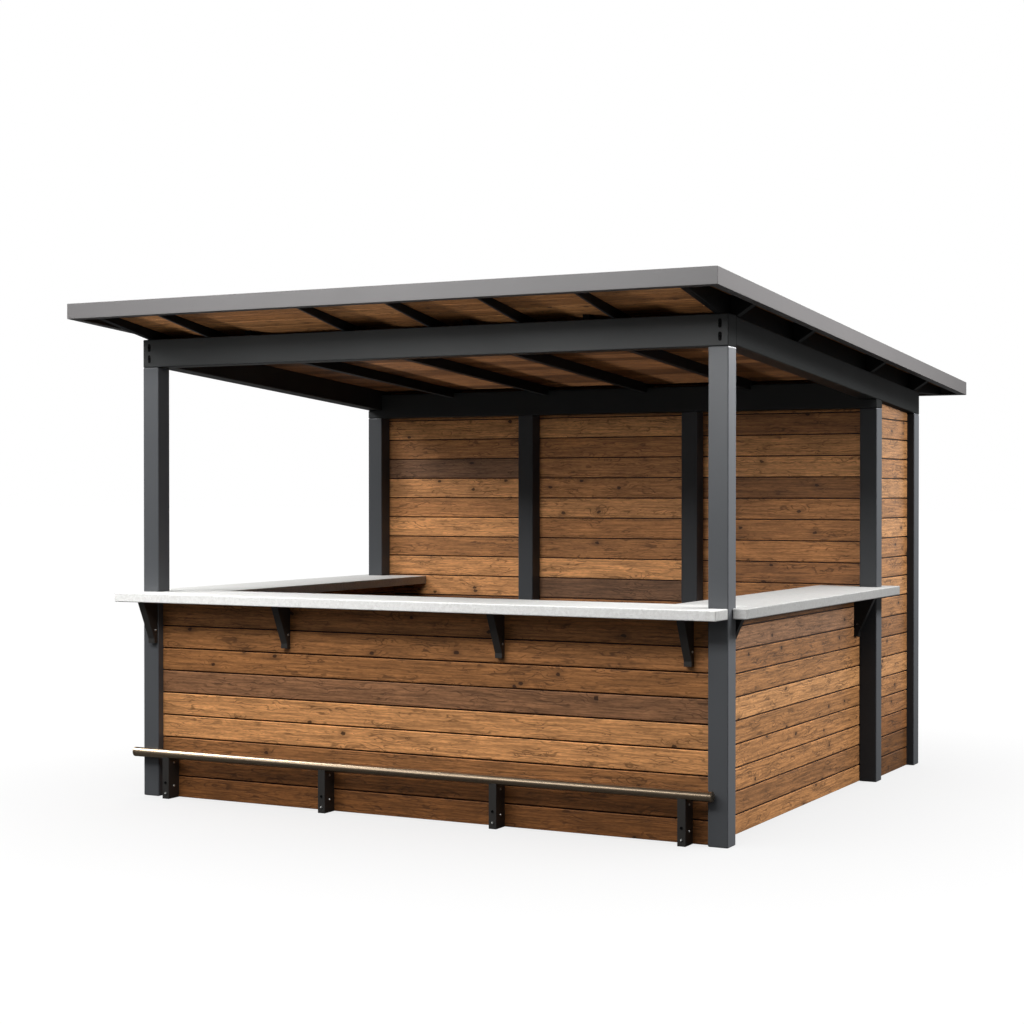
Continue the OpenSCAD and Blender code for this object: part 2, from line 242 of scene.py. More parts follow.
@dataclass(frozen=True)
class OiledBoards(Finish):
    """Heat-treated softwood, planed and oiled: long streaks, curled year rings, a few dark knots.

    The colour of each board comes from its own face attribute, so boards of a wall differ as cut timber does;
    the same attribute also holds the painted shade in the gaps and the painted highlight on the rounded
    edges.
    """

    title: str = "oiled heat-treated softwood"
    dark_colour: str = "#2b180b"
    roughness: float = 0.62
    sheen: float = 0.28
    pore_height: float = 0.9 * MM
    pore_strength: float = 0.8
    # Fields of noise: length and width of their spots, then their detail and bend. Pores are under 1 mm
    # wide; the streaks and flecks that they group into are drawn instead.
    blotch: Spots = (240 * MM, 60 * MM, 3.0, 0.0)
    streak: Spots = (230 * MM, 10 * MM, 5.0, 0.4)
    fleck: Spots = (42 * MM, 9 * MM, 2.0, 1.0)
    grit: Spots = (30 * MM, 7 * MM, 1.0, 0.0)
    arch: Spots = (480 * MM, 75 * MM, 2.0, 0.0)
    curl: Spots = (115 * MM, 42 * MM, 1.5, 0.0)
    patch: Spots = (150 * MM, 50 * MM, 2.0, 0.0)
    crack: Spots = (90 * MM, 22 * MM, 2.0, 0.6)
    # Year rings: their pitch, and how many of them the arches and the curls push aside.
    ring_pitch: float = 21 * MM
    arch_push: float = 6.0
    curl_push: float = 3.6
    # Cells that may hold a knot: their size, how far and how often their outline ripples in shares of a
    # cell, and how far a board's seed moves them.
    knot_cell: Span = (230 * MM, 150 * MM)
    knot_ripple: float = 0.10
    knot_ripples: float = 9.0
    knot_drift: Spot = (7.31, 3.17, 0.0)
    # Soft steps over a field: where a step starts and ends, and its value before and after.
    late_step: Step = (0.45, 1.0, 0.0, 0.56)
    late_patch: Step = (0.42, 0.62, 0.15, 1.0)
    speck_step: Step = (0.61, 0.74, 0.0, 0.45)
    crack_step: Step = (0.0, 0.020, 0.70, 0.0)
    crack_patch: Step = (0.50, 0.62, 0.0, 1.0)
    knot_luck: Step = (0.66, 0.70, 0.0, 1.0)
    knot_core: Step = (0.0425, 0.085, 0.9, 0.0)
    knot_halo: Step = (0.085, 0.255, 0.3, 0.0)
    knot_swirl: Step = (0.0, 0.42, 1.8, 0.0)
    blotch_level: Step = (0.28, 0.72, 0.88, 1.12)
    streak_level: Step = (0.28, 0.72, 0.69, 1.34)
    grit_level: Step = (0.25, 0.75, 0.88, 1.14)

    def wire(self, tree: Tree, shader: Node) -> None:
        """Build the grain in the board's own length and width."""
        tone = add_node(tree, "Attribute", {"attribute_name": BOARD_TONE}).outputs["Color"]
        seed = add_node(tree, "Attribute", {"attribute_name": BOARD_SEED}).outputs["Fac"]
        grain = add_node(tree, "UVMap", {"uv_map": BOARD_GRAIN}).outputs["UV"]
        split = add_node(tree, "SeparateXYZ", None, {"Vector": grain})
        place = add_node(tree, "CombineXYZ", None, {
            "X": split.outputs["X"],
            "Y": split.outputs["Y"],
            "Z": seed,
        }).outputs["Vector"]

        def cells_of(length: float, width: float) -> Socket:
            """Place on the board, counted in cells that are that long and wide."""
            scale = (1 / length, 1 / width, 1.0)
            return add_node(tree, "Mapping", None, {"Vector": place, "Scale": scale}).outputs["Vector"]

        def field_of(spots: Spots) -> Socket:
            """Noise in spots of one shape on the board."""
            sockets = dict(zip(("Detail", "Distortion"), spots[2:]), Vector=cells_of(*spots[:2]), Scale=1.0)
            return add_node(tree, "TexNoise", None, sockets).outputs["Fac"]

        def ramp(value: Socket, step: Step) -> Socket:
            """Turn a stretch of a field into a soft step between two values."""
            return add_range(tree, value, step, "SMOOTHSTEP")

        def calc(kind: str, *values: object) -> Socket:
            """One step of arithmetic on fields."""
            return add_node(tree, "Math", {"operation": kind}, dict(enumerate(values))).outputs[0]

        def move(kind: str, sockets: Inputs) -> Socket:
            """One step of arithmetic on places or colours."""
            return add_node(tree, "VectorMath", {"operation": kind}, sockets).outputs["Vector"]

        patch = field_of(self.patch)
        crack = calc("ABSOLUTE", calc("SUBTRACT", field_of(self.crack), 0.5))
        cells = cells_of(*self.knot_cell)
        moved = move("ADD", {0: cells, 1: move("SCALE", {0: self.knot_drift, "Scale": seed})})
        ripples = {"Vector": cells, "Scale": self.knot_ripples, "Detail": 2.0}
        ripple = add_node(tree, "TexNoise", None, ripples).outputs["Color"]
        bent = move("MULTIPLY_ADD", {0: ripple, 1: (self.knot_ripple, self.knot_ripple, 0.0), 2: moved})
        knots = add_node(tree, "TexVoronoi", {"voronoi_dimensions": "2D"}, {"Vector": bent, "Scale": 1.0})
        knot = knots.outputs["Distance"]
        luck = add_node(tree, "SeparateColor", None, {"Color": knots.outputs["Color"]}).outputs["Red"]
        present = ramp(luck, self.knot_luck)
        core, halo, swirl = (
            calc("MULTIPLY", ramp(knot, step), present)
            for step in (self.knot_core, self.knot_halo, self.knot_swirl)
        )
        across = calc("MULTIPLY_ADD", split.outputs["Y"], 1 / self.ring_pitch, swirl)
        arched = calc("MULTIPLY_ADD", field_of(self.arch), self.arch_push, across)
        phase = calc("MULTIPLY_ADD", field_of(self.curl), self.curl_push, arched)
        wave = calc("SINE", calc("MULTIPLY", phase, math.tau))
        late = calc("MULTIPLY", ramp(wave, self.late_step), ramp(patch, self.late_patch))
        speck = ramp(field_of(self.fleck), self.speck_step)
        split_line = calc("MULTIPLY", ramp(crack, self.crack_step), ramp(patch, self.crack_patch))
        fine = calc("MAXIMUM", calc("MAXIMUM", late, speck), split_line)
        stain = calc("MAXIMUM", fine, calc("MAXIMUM", core, halo))
        blotch = ramp(field_of(self.blotch), self.blotch_level)
        streak = ramp(field_of(self.streak), self.streak_level)
        grit = ramp(field_of(self.grit), self.grit_level)
        level = calc("MULTIPLY", calc("MULTIPLY", blotch, streak), grit)
        lit = move("SCALE", {0: tone, "Scale": level})
        set_inputs(tree, shader, {
            "Base Color": add_mix(tree, stain, lit, linear_colour(self.dark_colour)),
            "Roughness": self.roughness,
            "Specular IOR Level": self.sheen,
            "Normal": add_bump(tree, calc("SUBTRACT", level, stain), self.pore_height, self.pore_strength),
        })


@dataclass(frozen=True)
class HonedStone(Finish):
    """Pale grey granite, sawn and honed: fine salt and pepper grain, soft clouds and a dull sheen."""

    title: str = "honed pale granite"
    light: str = "#d6d6d4"
    dark: str = "#c0bfbc"
    fleck: str = "#9c9b97"
    roughness: float = 0.42
    cloud: float = 130 * MM
    # Crystals are 2 to 4 mm; they are drawn larger so that the speckle shows.
    crystal: float = 11 * MM
    fleck_size: float = 9 * MM
    fleck_height: float = 0.2 * MM
    fleck_strength: float = 0.4
    fleck_step: Step = (0.60, 0.72, 0.0, 0.35)
    gloss_swing: float = 0.08

    def wire(self, tree: Tree, shader: Node) -> None:
        """Scatter crystals and flecks through the block."""
        place = object_place(tree)
        cloud = add_noise(tree, place, self.cloud, detail=5.0)
        crystal = add_node(tree, "TexVoronoi", None, {"Vector": place, "Scale": 1 / self.crystal})
        pick = add_node(tree, "SeparateColor", None, {"Color": crystal.outputs["Color"]}).outputs["Red"]
        share = add_node(tree, "Math", {"operation": "MULTIPLY"}, {0: pick, 1: cloud}).outputs[0]
        body = add_mix(tree, share, linear_colour(self.light), linear_colour(self.dark))
        grit = add_noise(tree, place, self.fleck_size, detail=2.0)
        spot = add_range(tree, grit, self.fleck_step)
        gloss = (0.0, 1.0, self.roughness - self.gloss_swing, self.roughness + self.gloss_swing)
        set_inputs(tree, shader, {
            "Base Color": add_mix(tree, spot, body, linear_colour(self.fleck)),
            "Roughness": add_range(tree, cloud, gloss),
            "Normal": add_bump(tree, grit, self.fleck_height, self.fleck_strength),
        })


@dataclass(frozen=True)
class BrushedMetal(Finish):
    """Metal brushed along its length: fine lines that spread the highlight into a long soft band."""

    title: str
    colour: str
    roughness: float
    line: Span = (260 * MM, 4 * MM)
    line_height: float = 0.05 * MM
    line_strength: float = 0.3
    line_depth: float = 0.14
    gloss_swing: Span = (-0.08, 0.10)

    def wire(self, tree: Tree, shader: Node) -> None:
        """Draw the brush lines along X."""
        scale = (1 / self.line[0], 1 / self.line[1], 1 / self.line[1])
        drawn = add_node(tree, "Mapping", None, {"Vector": object_place(tree), "Scale": scale})
        lines = add_noise(tree, drawn.outputs["Vector"], 1.0, detail=3.0)
        gloss = (0.0, 1.0, self.roughness + self.gloss_swing[0], self.roughness + self.gloss_swing[1])
        set_inputs(tree, shader, {
            "Base Color": add_shades(tree, lines, self.colour, self.line_depth),
            "Metallic": 1.0,
            "Roughness": add_range(tree, lines, gloss),
            "Normal": add_bump(tree, lines, self.line_height, self.line_strength),
        })


BOARD_TONE = "board_tone"
BOARD_SEED = "board_seed"
BOARD_GRAIN = "grain"

# One anthracite coat in three copies: posts stand in the light and read as mid grey; the beams' darker copy
# and the rafters' almost black one are painted shade of the roof above them.
POST_COAT = PowderCoat("anthracite powder coat, posts", "#4c4e51", 0.42)
PAINTED_SHADE_BEAM_COAT = PowderCoat("anthracite powder coat, beams, painted shade", "#272929", 0.46, sheen=0.42)
PAINTED_SHADE_RAFTER_COAT = PowderCoat("anthracite powder coat, rafters, painted shade", "#1c1c1c", 0.5, sheen=0.2)
# The folded edge is the palest coat, a soft warm grey; the sheet on the roof is cooler and darker.
FASCIA_COAT = PowderCoat("grey powder coat, folded sheet", "#5f5d5d", 0.45)
ROOF_COAT = PowderCoat("dark grey coil coat, roof sheet", "#55575a", 0.5)
# Brackets and legs are plain black plate.
BLACK_COAT = PowderCoat("black powder coat, folded plate", "#2c2a28", 0.45)
BOARDS = OiledBoards()
STONE = HonedStone()
# The rail shows one long cream highlight on brown; screws are small bright dots and bolts black ones.
BRONZE = BrushedMetal("brushed bronze-toned steel", "#b5a189", 0.26)
ZINC = BrushedMetal("bright zinc-plated screw steel", "#c9c9c6", 0.3, line=(6 * MM, 2 * MM))
BLACK_STEEL = PowderCoat("blackened bolt steel", "#060606", 0.7, sheen=0.1, peel=3 * MM)


class Tone(Enum):
    """Named shades of oiled timber."""

    HONEY = "#b8804e"
    AMBER = "#a36e40"
    BROWN = "#8f5f37"
    UMBER = "#68411f"
    SMOKE = "#875e3f"
    RUSSET = "#9a673b"
    CHESTNUT = "#7d4f29"
    PALE = "#c78c57"
    ASH = "#704f36"


class Run(Enum):
    """How a board lies: the turn that takes length, thickness and rise from X, Y, Z to the row's axes."""

    ALONG_X = Matrix.Identity(4)
    ALONG_Y = Matrix.Rotation(math.radians(90), 4, "Z")
    FLAT_ALONG_X = Matrix.Rotation(math.radians(-90), 4, "X")

    @property
    def axes(self) -> tuple[int, int, int]:
        """Row axes of the board's length, thickness and rise."""
        turned = [self.value.to_3x3() @ Vector(unit) for unit in ((1, 0, 0), (0, 1, 0), (0, 0, 1))]
        return tuple(max(range(3), key=lambda axis: abs(way[axis])) for way in turned)


def merge_into(target: Mesh, part: Mesh) -> list[bmesh.types.BMFace]:
    """Move a finished part into a bigger mesh and free it.

    Args:
        target: Mesh that takes the part.
        part: Mesh that is used up.

    Returns:
        The part's faces in the bigger mesh.
    """
    scratch = bpy.data.meshes.new("scratch")
    part.to_mesh(scratch)
    part.free()
    count = len(target.faces)
    target.from_mesh(scratch)
    bpy.data.meshes.remove(scratch)
    target.faces.ensure_lookup_table()
    return target.faces[count:]


def cad_copy(node: str) -> Mesh:
    """Copy a CAD node's mesh, merged and with its flat faces whole again.

    Args:
        node: Name of the CAD node.

    Returns:
        The cleaned copy.
    """
    copy = bmesh.new()
    copy.from_mesh(frame["nodes"][node].data)
    bmesh.ops.remove_doubles(copy, verts=copy.verts[:], dist=MERGE)
    bmesh.ops.dissolve_limit(copy, angle_limit=FLAT_ANGLE, verts=copy.verts[:], edges=copy.edges[:])
    return copy


def round_edges(mesh: Mesh, edges: list[bmesh.types.BMEdge], radius: float, segments: int) -> None:
    """Round some edges of a mesh.

    Args:
        mesh: Mesh that is changed.
        edges: Edges that are rounded.
        radius: Radius of the rounding.
        segments: Facets across it.
    """
    bmesh.ops.bevel(
        mesh, geom=edges, offset=radius, offset_type="OFFSET", segments=segments, profile=0.5,
        affect="EDGES", material=-1, clamp_overlap=True,
    )


def ease_edges(mesh: Mesh, radius: float, segments: int) -> None:
    """Round every sharp edge of a mesh."""
    sharp = [edge for edge in mesh.edges if edge.calc_face_angle(0.0) > SHARP_ANGLE]
    round_edges(mesh, sharp, radius, segments)


def edge_way(edge: bmesh.types.BMEdge) -> Vector:
    """Direction in which an edge runs."""
    return (edge.verts[1].co - edge.verts[0].co).normalized()


def slope_matrix(point: Vector, normal: Vector) -> Matrix:
    """Work out the shear that lays level boards or sheets on a plane that falls along Y.

    Args:
        point: A point of the plane.
        normal: Normal of the plane.

    Returns:
        The shear, which takes height zero to the plane.
    """
    shear = Matrix.Identity(4)
    shear[2][1] = -normal.y / normal.z
    shear[2][3] = point.z - shear[2][1] * point.y
    return shear


def solid_boxes(node: str) -> list[Box]:
    """Find the boxes of the separate solids in a CAD node.

    Args:
        node: Name of the CAD node.

    Returns:
        Lowest and highest corner of each solid, from left to right and then from front to back.
    """
    copy = cad_copy(node)
    waiting = set(copy.verts)
    boxes = []
    while waiting:
        reach = [waiting.pop()]
        found = []
        while reach:
            vert = reach.pop()
            found.append(vert.co.copy())
            near = {edge.other_vert(vert) for edge in vert.link_edges} & waiting
            waiting -= near
            reach.extend(near)
        low = Vector(min(point[axis] for point in found) for axis in range(3))
        high = Vector(max(point[axis] for point in found) for axis in range(3))
        boxes.append((low, high))
    copy.free()
    return sorted(boxes, key=lambda box: (round(box[0].x, 3), round(box[0].y, 3)))


def widest_face(node: str, way: Vector) -> Plane:
    """Find the plane of a CAD node's widest face on one side.

    Args:
        node: Name of the CAD node.
        way: Direction that the face looks in.

    Returns:
        A point of the face and its normal.
    """
    mesh = frame["nodes"][node].data
    best = max(mesh.polygons, key=lambda polygon: polygon.area * max(polygon.normal.dot(way), 0.0) ** 4)
    return best.center.copy(), best.normal.copy()


def add_object(name: str, data: bpy.types.ID) -> bpy.types.Object:
    """Put a mesh, a light or a camera into the scene.

    Args:
        name: Name of the object.
        data: What the object shows.

    Returns:
        The new object, at the origin.
    """
    made = bpy.data.objects.new(name, data)
    bpy.context.scene.collection.objects.link(made)
    return made


def place_piece(
    mesh: Mesh,
    name: str,
    finish: Finish,
    nodes: Names = (),
) -> bpy.types.Object:
    """Turn a mesh into a piece of the object that rides on the frame.

    Args:
        mesh: Finished mesh in the row frame; it is used up.
        name: Name of the piece.
        finish: Its surface finish.
        nodes: CAD nodes that the piece stands for.

    Returns:
        The new object.
    """
    data = bpy.data.meshes.new(name)
    mesh.to_mesh(data)
    mesh.free()
    data.materials.clear()
    data.materials.append(finish.material())
    piece = add_object(name, data)
    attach(piece, "root")
    if nodes:
        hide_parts(*nodes)
    log.info("%s: %d faces", name, len(data.polygons))
    return piece


@dataclass(frozen=True)
class SteelGroup:
    """Coated steel pieces of one kind, shown with the rounded edges of rolled or folded section."""

    nodes: Names
    finish: Finish
    slot: str
    radius: float
    segments: int = 3
    suffix: str = "steel"

    def build(self) -> None:
        """Make each piece from its CAD node."""
        for node in self.nodes:
            mesh = cad_copy(node)
            ease_edges(mesh, self.radius, self.segments)
            place_piece(mesh, f"{node}_{self.suffix}", self.finish, (node,))


@dataclass(frozen=True)
class BoardProfile:
    """Cross-section of a tongued board with a shadow gap to the next one."""

    gap: float = 7 * MM
    tongue_share: float = 0.46
    ease: float = 4.0 * MM

    def mesh(self, length: float, thickness: float, rise: float, tongued: bool) -> Mesh:
        """Make one board round the origin, with its length along X and its rise along Z.

        Args:
            length: Length of the board.
            thickness: Its thickness.
            rise: Height of its body, without the tongue.
            tongued: Whether a tongue closes the gap above.

        Returns:
            The closed board.
        """
        board = bmesh.new()
        bmesh.ops.create_cube(board, size=1.0, matrix=Matrix.Diagonal((length, thickness, rise, 1.0)))
        if tongued:
            self.add_tongue(board, thickness)
        long_edges = [
            edge for edge in board.edges
            if abs(edge_way(edge).x) > PARALLEL
            and all(abs(abs(vert.co.y) - thickness / 2) < MERGE for vert in edge.verts)
        ]
        round_edges(board, long_edges, self.ease, 2)
        return board

    def add_tongue(self, board: Mesh, thickness: float) -> None:
        """Pull a tongue up out of the middle of the board's upper edge.

        Args:
            board: Plain board that is changed.
            thickness: Its thickness.
        """
        half = thickness * self.tongue_share / 2
        for side in (-1, 1):
            top = [face for face in board.faces if face.normal.z > PARALLEL]
            geometry = top + list({edge for face in top for edge in face.edges})
            geometry += list({vert for face in top for vert in face.verts})
            place = (0, side * half, 0)
            bmesh.ops.bisect_plane(board, geom=geometry, dist=MERGE, plane_co=place, plane_no=(0, 1, 0))
        middle = [
            face for face in board.faces
            if face.normal.z > PARALLEL and abs(face.calc_center_median().y) < half
        ]
        pulled = bmesh.ops.extrude_face_region(board, geom=middle)
        bmesh.ops.delete(board, geom=middle, context="FACES_ONLY")
        raised = [item for item in pulled["geom"] if isinstance(item, bmesh.types.BMVert)]
        bmesh.ops.translate(board, verts=raised, vec=(0, 0, self.gap))


@dataclass
class BoardWall:
    """A wall or ceiling of tongued boards that fills one CAD solid.

    Tones are named from the top board down, one row per bay; where a row is too short, a seeded draw goes on.
    """

    node: str
    run: Run
    course: float
    foot: tuple[float, ...] = ()
    bays: tuple[float, ...] = ()
    tones: tuple[tuple[Tone, ...], ...] = ()
    seed: int = 1
    usual: tuple[Tone, ...] = (
        Tone.HONEY, Tone.AMBER, Tone.AMBER, Tone.BROWN, Tone.BROWN, Tone.UMBER, Tone.SMOKE,
    )
    joint: float = 1.5 * MM
    # Painted shade: the tongue and its shoulders down in the shadow gap take this dark colour.
    painted_gap_shade_colour: str = "#2a1106"
    # Painted highlight: the faces of the rounded long edges are this much lighter than the rest of the board.
    painted_highlight_gain: float = 1.3
    # The top board may be up to that many courses high.
    top_course: float = 1.35
    # Brightness and grain seed that a board may draw, and how far up a rounded edge's faces look.
    shade_draw: Span = (0.90, 1.10)
    seed_draw: Span = (0.0, 400.0)
    edge_rise: Span = (0.2, 0.98)
    profile: BoardProfile = field(default_factory=BoardProfile)

    def courses(self, low: float, high: float) -> list[Span]:
        """Share a height among the courses.

        Args:
            low: Foot of the boards.
            high: Top of the boards.

        Returns:
            Foot and top of each course, from the lowest up.
        """
        marks = [low]
        for step in self.foot:
            marks.append(marks[-1] + step)
        while marks[-1] + self.course * self.top_course < high:
            marks.append(marks[-1] + self.course)
        marks.append(high)
        return list(zip(marks, marks[1:]))

    def dress(self, mesh: Mesh, faces: list[bmesh.types.BMFace], tone: Tone, shoulder: float,
              draw: random.Random) -> None:
        """Give a board's faces their grain direction, tone and seed, with painted shade on the tongue in the
        gap and a painted highlight along the rounded edges.

        Args:
            mesh: Mesh of the whole wall.
            faces: Faces of the board.
            tone: Shade of the board.
            shoulder: Height of the board's body, over which the tongue stands.
            draw: Source of the small differences between boards.
        """
        grain = mesh.loops.layers.uv[BOARD_GRAIN]
        shade = mesh.faces.layers.float_color[BOARD_TONE]
        seed = mesh.faces.layers.float[BOARD_SEED]
        length, thickness, rise = self.run.axes
        colour = linear_colour(tone.value, draw.uniform(*self.shade_draw))
        number = draw.uniform(*self.seed_draw)
        painted_gap_shade = linear_colour(self.painted_gap_shade_colour)
        painted_edge_highlight = tuple(channel * self.painted_highlight_gain for channel in colour)
        for face in faces:
            # Faces down in the gap get painted shade.
            in_gap = all(loop.vert.co[rise] > shoulder - MERGE for loop in face.loops)
            sides = [abs(face.normal[axis]) for axis in (length, thickness, rise)]
            # Faces of the rounded edges get the painted highlight.
            on_edge = self.edge_rise[0] < sides[2] < self.edge_rise[1]
            face[shade] = painted_gap_shade if in_gap else painted_edge_highlight if on_edge else colour
            face[seed] = number
            for loop in face.loops:
                spot = loop.vert.co
                along = spot[length] if sides[0] < FACING else spot[thickness]
                over = spot[thickness] if sides[2] > FACING else spot[rise]
                loop[grain].uv = (along, over)

    def fill(self, low: Vector, high: Vector, tones: tuple[Tone, ...], draw: random.Random,
             wall: Mesh, cut: Plane | None) -> None:
        """Lay the boards of one bay from the foot up.

        Args:
            low: Lowest corner of the bay.
            high: Highest corner of the bay.
            tones: Shades from the top board down.
            draw: Source of the seeded choices.
            wall: Mesh that takes the boards.
            cut: Point and normal of a sloping top that trims them, or None.
        """
        length, thickness, rise = self.run.axes
        courses = self.courses(low[rise], high[rise])
        for number, (foot, top) in enumerate(courses):
            from_top = len(courses) - 1 - number
            last = from_top == 0
            drawn = draw.choice(self.usual)
            tone = tones[from_top] if from_top < len(tones) else drawn
            body = top - foot - (0.0 if last else self.profile.gap)
            size = high - low
            board = self.profile.mesh(size[length] - self.joint, size[thickness], body, not last)
            centre = (low + high) / 2
            centre[rise] = foot + body / 2
            turn = Matrix.Translation(centre) @ self.run.value
            bmesh.ops.transform(board, matrix=turn, verts=board.verts[:])
            if cut is not None:
                self.trim(board, cut)
            self.dress(wall, merge_into(wall, board), tone, foot + body, draw)

    @staticmethod
    def trim(board: Mesh, cut: Plane) -> None:
        """Cut a board off along a sloping top and close the cut.

        Args:
            board: Board that is changed.
            cut: Point and normal of the slope.
        """
        whole = board.verts[:] + board.edges[:] + board.faces[:]
        bmesh.ops.bisect_plane(
            board, geom=whole, dist=MERGE, plane_co=cut[0], plane_no=cut[1], clear_outer=True,
        )
        bmesh.ops.holes_fill(board, edges=[edge for edge in board.edges if edge.is_boundary])

    def build(self) -> None:
        """Split the node's solids at the bays, fill each bay with boards and place them as one piece."""
        draw = random.Random(self.seed)
        wall = self.new_mesh()
        cut = self.top_slope()
        length = self.run.axes[0]
        for number, (low, high) in enumerate(solid_boxes(self.node)):
            stops = [low[length], *self.bays, high[length]]
            for row, (start, end) in enumerate(zip(stops, stops[1:]), number):
                first, second = low.copy(), high.copy()
                first[length], second[length] = start, end
                tones = self.tones[row] if row < len(self.tones) else ()
                self.fill(first, second, tones, draw, wall, cut)
        place_piece(wall, f"{self.node}_boards", BOARDS, (self.node,))

    @staticmethod
    def new_mesh() -> Mesh:
        """Start a wall mesh with the layers that boards need.

        Returns:
            The empty mesh.
        """
        wall = bmesh.new()
        wall.loops.layers.uv.new(BOARD_GRAIN)
        wall.faces.layers.float_color.new(BOARD_TONE)
        wall.faces.layers.float.new(BOARD_SEED)
        return wall

    def top_slope(self) -> Plane | None:
        """Find the sloping top of the wall.

        Returns:
            Point and normal of the top, or None where it is level.
        """
        point, normal = widest_face(self.node, UP)
        return None if normal.z > math.cos(FLAT_ANGLE) else (point, normal)


@dataclass
class CeilingBoards(BoardWall):
    """Boards of a ceiling or soffit, laid flat panel by panel and then sloped with it."""

    def build(self) -> None:
        """Lay the boards level, slope them and place them as one piece."""
        draw = random.Random(self.seed)
        deck = self.new_mesh()
        under, _ = widest_face(self.node, -UP)
        over, up = widest_face(self.node, UP)
        slope = slope_matrix(under, up)
        thickness = slope_matrix(over, up)[2][3] - slope[2][3]
        for low, high in solid_boxes(self.node):
            self.fill(Vector((low.x, low.y, 0)), Vector((high.x, high.y, thickness)), (), draw, deck, None)
        bmesh.ops.transform(deck, matrix=slope, verts=deck.verts[:])
        place_piece(deck, f"{self.node}_boards", BOARDS, (self.node,))


@dataclass
class RoofSheet:
    """Flat coated sheet on the ceiling boards, in strips that lap each other along the fall."""

    node: str = "roof_sheet"
    strips: int = 6
    lap: float = 30 * MM
    step: float = 4 * MM
    ease: float = 1.2 * MM
    lap_round: float = 0.8

    def build(self) -> None:
        """Ease the sheet's edges and lay the raised laps on it."""
        sheet = cad_copy(self.node)
        ease_edges(sheet, self.ease, 2)
        low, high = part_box(self.node)
        slope = slope_matrix(*widest_face(self.node, UP))
        for number in range(1, self.strips):
            across = low.x + (high.x - low.x) * number / self.strips
            lap = bmesh.new()
            size = Matrix.Diagonal((self.lap, high.y - low.y - 2 * self.lap, 2 * self.step, 1.0))
            bmesh.ops.create_cube(lap, size=1.0, matrix=Matrix.Translation((across, 0, 0)) @ size)
            ease_edges(lap, self.step * self.lap_round, 2)
            bmesh.ops.transform(lap, matrix=slope, verts=lap.verts[:])
            merge_into(sheet, lap)
        place_piece(sheet, f"{self.node}_coated", ROOF_COAT, (self.node,))


@dataclass
class FootRail:
    """Round rail with a shallow groove and a chamfered flat cap at each end."""

    node: str = "foot_rail"
    cap: float = 14 * MM
    groove: float = 1.5 * MM
    chamfer: float = 3 * MM
    facets: int = 48

    def build(self) -> None:
        """Turn the rail's half outline about its axis."""
        low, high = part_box(self.node)
        radius = (high.z - low.z) / 2
        middle = Vector((0, (low.y + high.y) / 2, (low.z + high.z) / 2))
        end = [
            (0.0, 0.0),
            (0.0, radius - self.chamfer),
            (self.chamfer, radius),
            (self.cap, radius),
            (self.cap, radius - self.groove),
            (self.cap + 2 * self.groove, radius - self.groove),
            (self.cap + 2 * self.groove, radius),
        ]
        left = [Vector((low.x + along, 0, out)) for along, out in end]
        right = [Vector((high.x - along, 0, out)) for along, out in reversed(end)]
        rail = bmesh.new()
        outline = [rail.verts.new(middle + point) for point in left + right]
        edges = [rail.edges.new(pair) for pair in zip(outline, outline[1:])]
        bmesh.ops.spin(
            rail, geom=outline + edges, cent=middle, axis=(1, 0, 0), angle=math.tau,
            steps=self.facets, use_merge=True,
        )
        bmesh.ops.remove_doubles(rail, verts=rail.verts[:], dist=MERGE)
        bmesh.ops.recalc_face_normals(rail, faces=rail.faces[:])
        piece = place_piece(rail, f"{self.node}_tube", BRONZE, (self.node,))
        piece.data.polygons.foreach_set("use_smooth", [True] * len(piece.data.polygons))
        piece.data.set_sharp_from_angle(angle=SHARP_ANGLE)


@dataclass(frozen=True)
class Fastener:
    """Head of a screw or bolt with a hexagon socket."""

    radius: float
    height: float
    facets: int = 14
    # Shares of the radius: the top and the rim round the socket. Shares of the height: depth of the
    # socket, and how high the head's middle stands over the surface.
    top: float = 0.78
    rim: float = 0.34
    socket: float = 0.6
    stand: float = 0.45

    def add(self, mesh: Mesh, spot: Vector, out: Vector) -> None:
        """Set one head on a surface.

        Args:
            mesh: Mesh that takes the head.
            spot: Point of the surface under the head.
            out: Direction that the head looks in.
        """
        head = bmesh.new()
        bmesh.ops.create_cone(
            head, cap_ends=True, segments=self.facets, radius1=self.radius,
            radius2=self.radius * self.top, depth=self.height,
        )
        face = max(head.faces, key=lambda item: item.calc_center_median().z)
        bmesh.ops.inset_region(head, faces=[face], thickness=self.radius * self.rim, depth=0.0)
        inner = max(head.faces, key=lambda item: (item.normal.z, len(item.verts)))
        bmesh.ops.translate(head, verts=inner.verts[:], vec=(0, 0, -self.height * self.socket))
        turn = UP.rotation_difference(out).to_matrix().to_4x4()
        lift = Matrix.Translation(spot + out * (self.height * self.stand))
        bmesh.ops.transform(head, matrix=lift @ turn, verts=head.verts[:])
        merge_into(mesh, head)


